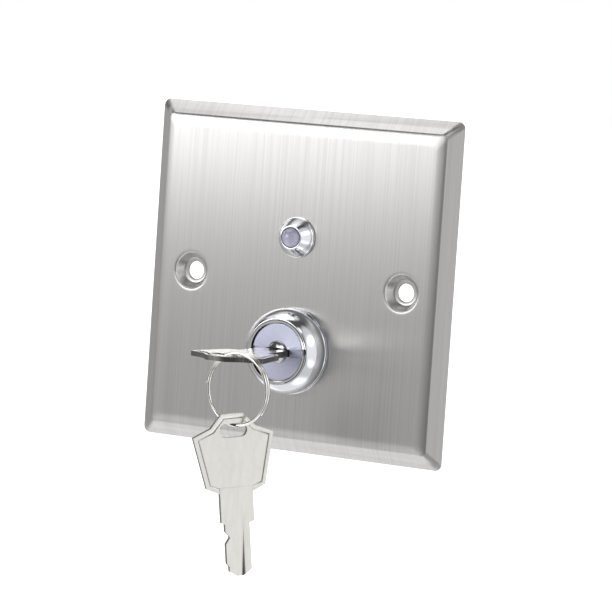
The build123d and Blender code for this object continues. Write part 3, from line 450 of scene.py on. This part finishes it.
# ---------------------------------------------------------------- faceplate
@dataclass
class Faceplate:
    """Square stainless plate: pressed bevel, soft bend inside it, two dished screw seats."""

    width: float = 86.0
    stand: float = 3.2
    sheet: float = 0.8
    bevel_run: float = 3.4
    bend_drop: float = 0.45
    bend_run: float = 3.0
    rim_corner: float = 1.8
    screw_spacing: float = 60.3
    seat_mouth: float = 4.95
    corner_steps: int = 6
    bend_steps: int = 8

    def build(self) -> None:
        """Model the plate and dress it."""
        plate = self.pan()
        openings = [turn("seat", self.seat_profile(), x=side * self.screw_spacing / 2, closed=False)
                    for side in (-1, 1)]
        openings += [turn("hole", [(radius, self.stand), (radius, self.stand - self.sheet)], z=z, steps=64,
                          closed=False) for radius, z in ((8.0, LOCK_Z), (4.1, LED_Z))]
        activate(plate)
        for opening in openings:
            opening.select_set(True)
        bpy.ops.object.join()
        for height in (self.stand, self.stand - self.sheet):
            self.fill(plate, height)
        bpy.ops.object.mode_set(mode="EDIT")
        bpy.ops.mesh.select_all(action="SELECT")
        bpy.ops.mesh.normals_make_consistent(inside=False)
        bpy.ops.object.mode_set(mode="OBJECT")
        soften(plate, 0.0, angle=24.0)
        settle(plate, "frame", "brushed_stainless", "faceplate")

    def pan(self) -> bpy.types.Object:
        """Press the pan out of a flat blank: both skins, with the front and back flats left open."""
        deselect()
        bpy.ops.mesh.primitive_plane_add(size=self.width * MM, rotation=(math.pi / 2, 0.0, 0.0))
        plate = adopt("faceplate_sheet")
        bpy.ops.object.mode_set(mode="EDIT")
        bpy.ops.mesh.select_all(action="SELECT")
        bpy.ops.mesh.bevel(affect="VERTICES", offset=self.rim_corner * MM, segments=self.corner_steps)
        bpy.ops.mesh.select_mode(type="FACE")
        bpy.ops.mesh.select_all(action="SELECT")
        self.press(self.outside())
        bpy.ops.mesh.select_all(action="DESELECT")
        mesh = bmesh.from_edit_mesh(plate.data)
        for face in mesh.faces:
            face.select_set(all(abs(v.co.y) < 0.01 * MM for v in face.verts))
        bmesh.update_edit_mesh(plate.data)
        inside = self.inside()
        bpy.ops.mesh.inset(thickness=inside[0][0] * MM, depth=0.0)
        self.press(inside)
        bpy.ops.mesh.select_mode(type="VERT")
        bpy.ops.object.mode_set(mode="OBJECT")
        return plate

    def press(self, levels: list[Point]) -> None:
        """Extrude the selected face from level to level, then take the last face away.

        Args:
            levels: Inset from the rim and height off the wall. The face is at the first one.
        """
        for (inset, height), (next_inset, next_height) in zip(levels, levels[1:]):
            share = (self.width / 2 - next_inset) / (self.width / 2 - inset)
            bpy.ops.mesh.extrude_region_move(
                TRANSFORM_OT_translate={"value": (0.0, (height - next_height) * MM, 0.0)})
            bpy.ops.transform.resize(value=(share, 1.0, share), center_override=(0.0, 0.0, 0.0))
        bpy.ops.mesh.delete(type="ONLY_FACE")

    def outside(self) -> list[Point]:
        """Levels of the outer skin from the rim to the flat, as inset and height."""
        crease = self.stand - self.bend_drop
        slope = crease / self.bevel_run
        ease = 0.18
        made = [(0.0, 0.0), (0.03, 0.10), (self.bevel_run - ease, crease - ease * slope),
                (self.bevel_run + 0.02, crease - 0.035)]
        for i in range(1, self.bend_steps + 1):
            share = i / self.bend_steps
            made.append((self.bevel_run + self.bend_run * share, self.stand - self.bend_drop * (1 - share) ** 2))
        return made + [(self.bevel_run + self.bend_run + 0.5, self.stand)]

    def inside(self) -> list[Point]:
        """Levels of the inner skin from the rim to the flat, as inset and height."""
        crease = self.stand - self.bend_drop
        back = self.stand - self.sheet
        shift = self.sheet * math.hypot(self.bevel_run, crease) / crease
        inner_crease = shift + self.bevel_run * (crease - self.sheet) / crease
        return [(shift, 0.0), (inner_crease, crease - self.sheet), (self.bevel_run + self.bend_run, back),
                (self.bevel_run + self.bend_run + 0.5, back)]

    def fill(self, plate: bpy.types.Object, height: float) -> None:
        """Fill the open flat at one height, round the holes in it."""
        activate(plate)
        bpy.ops.object.mode_set(mode="EDIT")
        bpy.ops.mesh.select_mode(type="EDGE")
        bpy.ops.mesh.select_all(action="DESELECT")
        mesh = bmesh.from_edit_mesh(plate.data)
        for edge in mesh.edges:
            edge.select_set(edge.is_boundary and all(abs(v.co.y + height * MM) < 0.01 * MM for v in edge.verts))
        bmesh.update_edit_mesh(plate.data)
        bpy.ops.mesh.fill(use_beauty=True)
        bpy.ops.mesh.select_mode(type="VERT")
        bpy.ops.object.mode_set(mode="OBJECT")

    def seat_profile(self) -> list[Point]:
        """Section of a dished screw seat, from the front flat down to the hole and up the back."""
        mouth = self.seat_mouth
        return [(mouth + 0.45, self.stand), (mouth, self.stand), (mouth - 0.2, self.stand - 0.035),
                (mouth - 0.36, self.stand - 0.12), (mouth - 0.48, self.stand - 0.25),
                (mouth - 0.56, self.stand - 0.39), (3.42, 1.12), (3.32, 0.95), (3.16, 0.84), (2.98, self.sheet),
                (2.42, self.sheet), (2.3, self.sheet - 0.12), (2.3, 0.0), (3.74, 0.0), (5.1, self.stand - self.sheet),
                (5.6, self.stand - self.sheet)]


# ---------------------------------------------------------------- lock
@dataclass
class Lock:
    """Domed collar and the grooved face of the plug."""

    stand: float = 3.2
    foot_r: float = 10.9
    mouth_r: float = 8.35
    height: float = 6.6
    bore_r: float = 8.0
    flange_r: float = 9.3
    flange_t: float = 1.8
    cap_r: float = 7.25
    cap_back: float = 8.25
    cap_front: float = 9.45
    groove_deep: float = 0.6
    keyway_h: float = 1.85
    keyway: tuple[float, float] = (-3.5, 3.1)
    recess_r: float = 2.75
    dish_deep: float = 0.3

    def build(self) -> None:
        """Model the collar and the cap."""
        self.collar()
        self.cap()

    def collar(self) -> None:
        """Chromed dome with a rolled lip at its mouth and a small step at its foot."""
        top = self.stand + self.height
        foot = self.stand
        dome = arc((self.foot_r - 0.28, foot + 0.72), (self.foot_r - 0.52, foot + self.height * 0.6),
                   (self.mouth_r + 0.17, top - 0.12), 28)
        lip = arc((self.mouth_r + 0.17, top - 0.12), (self.mouth_r + 0.02, top - 0.02),
                  (self.mouth_r - 0.14, top), 4)[1:]
        profile = ([(self.flange_r, foot), (self.foot_r - 0.1, foot), (self.foot_r, foot + 0.1),
                    (self.foot_r, foot + 0.42), (self.foot_r - 0.08, foot + 0.5), (self.foot_r - 0.26, foot + 0.55)]
                   + dome + lip
                   + [(self.bore_r + 0.06, top), (self.bore_r, top - 0.08), (self.bore_r, foot + self.flange_t),
                      (self.flange_r, foot + self.flange_t)])
        piece = turn("collar_dome", profile, z=LOCK_Z, steps=160)
        soften(piece, 0.0, angle=32.0)
        settle(piece, "frame", "chrome_plated_zinc", "lock_collar")

    def cap(self) -> None:
        """Satin cap: chamfered rim, round recess, a groove across it and the slot for the key."""
        front, floor = self.cap_front, self.cap_front - self.groove_deep
        dish = arc((0.0, floor - self.dish_deep), (self.recess_r * 0.6, floor - self.dish_deep * 0.62),
                   (self.recess_r - 0.04, floor + 0.22), 10)
        profile = dish + [(self.recess_r, front - 0.14), (self.recess_r + 0.14, front),
                   (self.cap_r - 0.3, front), (self.cap_r - 0.1, front - 0.1), (self.cap_r, front - 0.3),
                   (self.cap_r, self.cap_back), (0.0, self.cap_back)]
        piece = turn("cap_face", profile, z=LOCK_Z, steps=128)
        half = self.keyway_h / 2
        for sides, low, high in (((-self.cap_r - 1, self.cap_r + 1), floor, front + 1),
                                 (self.keyway, self.cap_back - 1, front + 1)):
            deselect()
            bpy.ops.mesh.primitive_cube_add(size=1.0)
            bpy.context.object.scale = ((sides[1] - sides[0]) * MM, (high - low) * MM, 2 * half * MM)
            bpy.context.object.location = (sum(sides) / 2 * MM, -(low + high) / 2 * MM, LOCK_Z * MM)
            combine(piece, adopt("cutter"), "DIFFERENCE")
        soften(piece, 0.05, 2, 35.0)
        settle(piece, "plug", "satin_chrome", "plug_cap")
        axis = Vector((0.0, 0.0, LOCK_Z * MM))
        second_finish(piece, "chrome_plated_zinc", lambda face: (
            (face.center - axis).xz.length < (self.recess_r + 0.1) * MM and face.center.y > -(front - 0.01) * MM))


# ---------------------------------------------------------------- indicator lamp
@dataclass
class Lamp:
    """Conical chrome bezel with a threaded barrel, and the frosted lamp in it."""

    stand: float = 3.2
    flange_r: float = 5.1
    cone_r: float = 4.85
    ring_r: float = 3.0
    height: float = 3.4
    bore_r: float = 2.6
    seat_r: float = 3.0
    seat_at: float = 0.3
    barrel_r: float = 4.0
    barrel_back: float = -6.0
    lens_r: float = 2.5
    lens_flange_r: float = 2.9
    lens_back: float = -0.7
    dome_at: float = 5.9

    def build(self) -> None:
        """Model the bezel and the lens."""
        top = self.stand + self.height
        profile = ([(self.seat_r, self.barrel_back), (self.barrel_r - 0.4, self.barrel_back),
                    (self.barrel_r, self.barrel_back + 0.4)]
                   + thread(self.barrel_r, self.barrel_back + 0.5, self.stand - 0.8)
                   + [(self.barrel_r, self.stand), (self.flange_r, self.stand),
                      (self.flange_r, self.stand + 0.4), (self.flange_r - 0.05, self.stand + 0.48),
                      (self.cone_r + 0.08, self.stand + 0.5), (self.cone_r, self.stand + 0.56)]
                   + arc((self.cone_r, self.stand + 0.56), (3.98, self.stand + 2.06), (self.ring_r + 0.06, top - 0.1), 10)[1:]
                   + [(self.ring_r - 0.02, top - 0.02), (self.ring_r - 0.1, top), (self.bore_r + 0.12, top),
                      (self.bore_r + 0.03, top - 0.03), (self.bore_r, top - 0.12), (self.bore_r, self.seat_at),
                      (self.seat_r, self.seat_at)])
        bezel = turn("bezel_cone", profile, z=LED_Z, steps=96)
        soften(bezel, 0.0, angle=30.0)
        settle(bezel, "frame", "chrome_plated_zinc", "led_bezel")
        dome = arc((self.lens_r, self.dome_at), (self.lens_r * math.cos(math.pi / 4),
                   self.dome_at + self.lens_r * math.sin(math.pi / 4)), (0.0, self.dome_at + self.lens_r), 20)
        profile = [(0.0, self.lens_back), (self.lens_flange_r - 0.1, self.lens_back),
                   (self.lens_flange_r, self.lens_back + 0.1), (self.lens_flange_r, self.seat_at - 0.1),
                   (self.lens_flange_r - 0.1, self.seat_at), (self.lens_r, self.seat_at)] + dome
        lens = turn("lamp_dome", profile, z=LED_Z, steps=72)
        soften(lens, 0.0, angle=35.0)
        settle(lens, "frame", "frosted_epoxy", "led_lens")


# ---------------------------------------------------------------- keys and ring
@dataclass
class Key:
    """Flat key cut from a stamped blank: coined border on the bow, slot, stem and cut blade."""

    name: str
    node: str
    body: str
    head: Vector
    across: Vector
    along: Vector
    thick: float = 1.55
    rim_thick: float = 1.3
    length: float = 39.8
    stem_half: float = 4.15
    stem_end: float = 26.5
    foot: float = 17.9
    left: float = -3.3
    right: float = 2.9
    panel_inset: float = 1.2
    coin_deep: float = 0.14
    slot: tuple[float, float, float] = (7.0, 3.4, 4.1)

    def build(self) -> None:
        """Model the key flat, cut it, and put it in its place."""
        key = self.bow()
        combine(key, prism("shank", self.shank_outline(), -self.thick / 2, self.thick / 2), "UNION")
        width, height, centre = self.slot
        run = (width - height) / 2
        ends = arc((run, centre - height / 2), (run + height / 2, centre), (run, centre + height / 2), 10)
        combine(key, prism("slot", ends + [(-u, 2 * centre - v) for u, v in ends], -2.0, 2.0), "DIFFERENCE")
        for face in (-1, 1):
            combine(key, self.groove(face), "DIFFERENCE")
        soften(key, 0.08, 2, 50.0)
        key.matrix_world = Matrix((self.across, self.along, self.across.cross(self.along))).transposed().to_4x4()
        key.matrix_world.translation = self.head * MM
        key = self.placed(key)
        settle(key, self.body, "nickel_plated_key", self.node)
        face_normal = self.across.cross(self.along)
        second_finish(key, "sheared_edge", lambda face: abs(face.normal.dot(face_normal)) < 0.3)

    def placed(self, key: bpy.types.Object) -> bpy.types.Object:
        """Put the key's place in its mesh."""
        activate(key)
        bpy.ops.object.transform_apply(location=True, rotation=True, scale=True)
        return key

    def bow(self) -> bpy.types.Object:
        """The handle, with its middle raised inside a coined border on both faces."""
        half = [(2.7, 0.0), (5.6, 3.3), (10.1, 5.2), (7.4, 17.9), (4.15, 19.4)]
        outline = half + [(-u, v) for u, v in reversed(half)]
        piece = prism(self.name, outline, -self.rim_thick / 2, self.rim_thick / 2)
        rise = (self.thick - self.rim_thick) / 2
        activate(piece)
        bpy.ops.object.mode_set(mode="EDIT")
        bpy.ops.mesh.select_mode(type="FACE")
        for side in (-1, 1):
            bpy.ops.mesh.select_all(action="DESELECT")
            mesh = bmesh.from_edit_mesh(piece.data)
            mesh.faces.ensure_lookup_table()
            for face in mesh.faces:
                face.select_set(face.normal.z * side > 0.9 and len(face.verts) > 8)
            bmesh.update_edit_mesh(piece.data)
            bpy.ops.mesh.inset(thickness=(self.panel_inset - 0.35) * MM, depth=0.0)
            bpy.ops.mesh.inset(thickness=0.22 * MM, depth=-self.coin_deep * MM)
            bpy.ops.mesh.inset(thickness=0.2 * MM, depth=(rise + self.coin_deep) * MM)
        bpy.ops.mesh.select_mode(type="VERT")
        bpy.ops.object.mode_set(mode="OBJECT")
        return piece

    def shank_outline(self) -> list[Point]:
        """Stem, shoulders and the cut edge of the blade."""
        left, right, stem, tip = self.left, self.right, self.stem_half, self.length
        return [(stem, self.foot), (stem, self.stem_end), (right, self.stem_end + 0.4), (right, tip - 1.5),
                (0.75, tip), (-0.75, tip), (left + 0.6, tip - 1.2), (left + 0.6, tip - 2.4), (left, tip - 3.2),
                (left, tip - 8.0), (left + 1.0, tip - 9.4), (left + 1.0, tip - 9.8), (left, tip - 11.0),
                (left, self.stem_end + 0.4), (-stem, self.stem_end), (-stem, self.foot)]

    def groove(self, face: int) -> bpy.types.Object:
        """Cutter of the groove milled along the blade on one face, which runs out in a point."""
        middle, half, deep, start, run_out = 0.2, 1.25, 0.45, 20.4, 4.5
        top, share = face * (self.thick / 2 + 0.02), 0.04
        small = [(middle - half * share, top), (middle, top - face * deep * share), (middle + half * share, top)]
        piece = trace("groove", [Vector((u * MM, start * MM, w * MM)) for u, w in small], closed=True)
        bpy.ops.mesh.extrude_region_move(TRANSFORM_OT_translate={"value": (0.0, run_out * MM, 0.0)})
        bpy.ops.transform.resize(value=(1 / share, 1.0, 1 / share), center_override=(middle * MM, 0.0, top * MM))
        rest = self.length - start - run_out + 1
        bpy.ops.mesh.extrude_region_move(TRANSFORM_OT_translate={"value": (0.0, rest * MM, 0.0)})
        bpy.ops.mesh.select_all(action="SELECT")
        bpy.ops.mesh.normals_make_consistent(inside=False)
        bpy.ops.object.mode_set(mode="OBJECT")
        return piece


@dataclass
class SplitRing:
    """Hard wire wound round once and a half, through both bows."""

    radius: float = 8.75
    wire: float = 0.85
    pitch: float = 0.9
    start: float = -38.0
    sweep: float = 573.0
    turned: float = -6.0
    centre: tuple[float, float, float] = (4.8, -36.45, -24.5996)

    def axes(self) -> tuple[Vector, Vector]:
        """The ring's own right and the way it faces."""
        angle = math.radians(self.turned)
        return Vector((math.cos(angle), math.sin(angle), 0)), Vector((math.sin(angle), -math.cos(angle), 0))

    def build(self) -> None:
        """Model the ring flat by screwing the wire's section round, then place it."""
        lap = self.pitch * self.sweep / 360
        deselect()
        bpy.ops.mesh.primitive_circle_add(vertices=24, radius=self.wire / 2 * MM, location=(self.radius * MM, 0, -lap / 2 * MM),
                                          rotation=(math.pi / 2, 0.0, 0.0))
        ring = adopt("ring_wire")
        modifier = ring.modifiers.new("wind", "SCREW")
        modifier.axis = "Z"
        modifier.angle = math.radians(self.sweep)
        modifier.screw_offset = lap * MM
        modifier.steps = modifier.render_steps = 240
        bpy.ops.object.modifier_apply(modifier=modifier.name)
        bpy.ops.object.mode_set(mode="EDIT")
        bpy.ops.mesh.select_all(action="SELECT")
        bpy.ops.mesh.fill_holes(sides=0)
        bpy.ops.mesh.select_all(action="SELECT")
        bpy.ops.mesh.normals_make_consistent(inside=False)
        bpy.ops.object.mode_set(mode="OBJECT")
        soften(ring, 0.08, 2, 50.0)
        right, out = self.axes()
        turn_start = Euler((0.0, 0.0, math.radians(self.start))).to_matrix()
        facing = Matrix((right, out.cross(right), out)).transposed()
        ring.matrix_world = (facing @ turn_start).to_4x4()
        ring.matrix_world.translation = Vector(self.centre) * MM
        activate(ring)
        bpy.ops.object.transform_apply(location=True, rotation=True, scale=True)
        settle(ring, "ring", "nickel_plated_wire", "split_ring")


@dataclass
class KeyPair:
    """The key in the lock, and its spare on the ring below."""

    ring: SplitRing
    head_at: float = 39.6
    turned: float = 46.0
    tilt: float = 7.0
    across_slot: float = 0.8
    hang: float = 0.2
    slot_edge: float = 2.4

    def build(self) -> None:
        """Model both keys."""
        Key("key_in_lock", "key_inserted", "key", Vector((0.0, -self.head_at, LOCK_Z)), Vector((1, 0, 0)),
            Vector((0, 1, 0))).build()
        turned, tilt = math.radians(self.turned), math.radians(self.tilt)
        width, down = Vector((math.cos(turned), math.sin(turned), 0)), Vector((0, 0, -1))
        across = width * math.cos(tilt) - down * math.sin(tilt)
        along = down * math.cos(tilt) + width * math.sin(tilt)
        carrier = Vector(self.ring.centre) + down * (self.ring.radius - self.ring.wire / 2 - self.hang)
        head = carrier - across * self.across_slot - along * self.slot_edge
        Key("key_on_ring", "key_spare", "spare_key", head, across, along).build()


# ---------------------------------------------------------------- carried-over parts
class Works:
    """The parts behind the plate, whose CAD shapes stay and take their real finishes."""

    def dress(self, nodes: dict[str, bpy.types.Object]) -> None:
        """Give each CAD node that is still shown the finish of its slot.

        Args:
            nodes: The CAD nodes by name.
        """
        for name, node in nodes.items():
            if node.hide_render:
                continue
            for holder in node.material_slots:
                holder.material = finish_material(holder.material.name.split(".")[0])
            LOG.info("%s: kept from CAD, finish %s", name, node.material_slots[0].material.name)


# ---------------------------------------------------------------- studio
@dataclass(frozen=True)
class Panel:
    """A far bright panel of the room: where it lies, how far it reaches, and how bright it is.

    The angles, in degrees from its middle, are where it starts to fade and where it ends.
    """

    towards: tuple[float, float, float]
    inner: float
    outer: float
    radiance: float


@dataclass
class Studio:
    """Pale floor, white surround with a dim room in front, softboxes, and the camera."""

    lens: float = 202.4
    sensor: float = 36.0
    camera_at: tuple[float, float, float] = (415.96, -753.09, 64.32)
    right: tuple[float, float, float] = (0.87168, 0.48540, 0.06758)
    up: tuple[float, float, float] = (-0.09865, 0.03870, 0.99438)
    looking: tuple[float, float, float] = (-0.48005, 0.87344, -0.08161)
    room: float = 0.10
    panels: tuple[Panel, ...] = (
        Panel((0.96, -0.18, 0.08), 28.0, 42.0, 0.92),
        Panel((0.62, -0.25, -0.74), 20.0, 40.0, 0.65),
        Panel((-0.40, 0.10, 0.91), 24.0, 36.0, 0.88),
        Panel((-0.20, 0.05, -0.98), 32.0, 52.0, 0.88),
        Panel((-0.48, -0.68, -0.55), 8.0, 28.0, 0.62),
        Panel((-0.62, -0.78, -0.05), 18.0, 40.0, 0.42),
        Panel((-0.80, 0.45, -0.35), 20.0, 50.0, 0.40),
        Panel((0.72, -0.25, 0.62), 16.0, 30.0, 0.65),
        Panel((0.30, -0.62, 0.70), 5.0, 11.0, 1.6),
        Panel((0.20, 0.95, 0.25), 25.0, 60.0, 0.45),
    )

    def build(self, low: Vector) -> None:
        """Set up everything round the object.

        Args:
            low: Lowest corner of the object, in metres.
        """
        self.camera()
        self.floor(low.z - 30 * MM)
        self.surround()
        self.softbox("left_front", (-300, -440, 150), (0, 0, 30), (350, 300), 2.65)
        self.softbox("overhead", (-115, -60, 330), (-20, 0, 30), (190, 210), 0.62)

    def camera(self) -> None:
        """Camera at the viewing angle, a long lens with no shift."""
        deselect()
        bpy.ops.object.camera_add()
        camera = bpy.context.object
        camera.data.sensor_width = self.sensor
        camera.data.lens = self.lens
        axes = Matrix((Vector(self.right), Vector(self.up), -Vector(self.looking))).transposed().to_4x4()
        axes.translation = Vector(self.camera_at) * MM
        camera.matrix_world = axes
        camera.data.clip_start, camera.data.clip_end = 0.01, 20.0
        bpy.context.scene.camera = camera

    def floor(self, height: float) -> None:
        """A wide matt white floor below the hanging key."""
        deselect()
        bpy.ops.mesh.primitive_circle_add(vertices=96, radius=6.0, fill_type="NGON", location=(0.0, 0.0, height))
        floor = adopt("studio_floor")
        paint = bpy.data.materials.new("matt_white_paint")
        paint.use_nodes = True
        shader = paint.node_tree.nodes["Principled BSDF"]
        shader.inputs["Base Color"].default_value = linear("#e9e9e7")
        shader.inputs["Roughness"].default_value = 0.9
        shader.inputs["Emission Color"].default_value = (1.0, 1.0, 1.0, 1.0)
        shader.inputs["Emission Strength"].default_value = 1.0
        floor.data.materials.append(paint)
        floor.visible_glossy = False
        floor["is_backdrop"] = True

    def surround(self) -> None:
        """Dim room with bright panels in it, seen only in reflections, and a white backdrop."""
        world = bpy.data.worlds.new("studio_room")
        bpy.context.scene.world = world
        world.use_nodes = True
        tree = world.node_tree
        tree.nodes.clear()
        place = add_node(tree, "ShaderNodeTexCoord")
        total = add_node(tree, "ShaderNodeValue")
        total.outputs[0].default_value = self.room
        light = total.outputs[0]
        for panel in self.panels:
            towards = add_node(tree, "ShaderNodeVectorMath",
                               {"operation": "DOT_PRODUCT", 1: Vector(panel.towards).normalized()},
                               {0: place.outputs["Generated"]})
            lobe = add_node(tree, "ShaderNodeMapRange",
                            {"interpolation_type": "SMOOTHSTEP", "From Min": math.cos(math.radians(panel.outer)),
                             "From Max": math.cos(math.radians(panel.inner)), "To Max": panel.radiance},
                            {"Value": towards.outputs["Value"]})
            light = add_node(tree, "ShaderNodeMath", {"operation": "ADD"},
                             {0: light, 1: lobe.outputs["Result"]}).outputs["Value"]
        room = add_node(tree, "ShaderNodeBackground", {"Color": (1.0, 1.0, 1.0, 1.0)}, {"Strength": light})
        backdrop = add_node(tree, "ShaderNodeBackground", {"Color": (1.0, 1.0, 1.0, 1.0), "Strength": 1.0})
        seen = add_node(tree, "ShaderNodeLightPath")
        mixed = add_node(tree, "ShaderNodeMixShader", {},
                         {0: seen.outputs["Is Camera Ray"], 1: room.outputs["Background"],
                          2: backdrop.outputs["Background"]})
        add_node(tree, "ShaderNodeOutputWorld", {}, {"Surface": mixed.outputs["Shader"]})
        bpy.context.scene.view_settings.view_transform = "Standard"

    def softbox(self, name: str, at: tuple[float, float, float], target: tuple[float, float, float],
                size: tuple[float, float], radiance: float) -> None:
        """An area light that faces a point.

        Args:
            name: The light's name.
            at: Its centre, in millimetres.
            target: The point it faces, in millimetres.
            size: Width and height, in millimetres.
            radiance: How bright its face looks, where 1 is white.
        """
        deselect()
        bpy.ops.object.light_add(type="AREA", location=Vector(at) * MM)
        light = bpy.context.object
        light.name = name
        light.visible_camera = False
        light.rotation_euler = (Vector(target) - Vector(at)).to_track_quat("-Z", "Y").to_euler()
        light.data.shape = "RECTANGLE"
        light.data.size, light.data.size_y = (s * MM for s in size)
        light.data.energy = radiance * math.pi * light.data.size * light.data.size_y


def main() -> None:
    """Load the frame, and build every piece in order."""
    logging.basicConfig(level=logging.INFO, format="%(name)s %(message)s")
    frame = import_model()
    cad_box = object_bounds()
    Studio().build(cad_box[0])
    ring = SplitRing()
    for assembly in (Faceplate(), Lock(), Lamp(), ring, KeyPair(ring)):
        assembly.build()
        LOG.info("%s done", type(assembly).__name__)
    Works().dress(frame["nodes"])


if __name__ == "__main__":
    main()
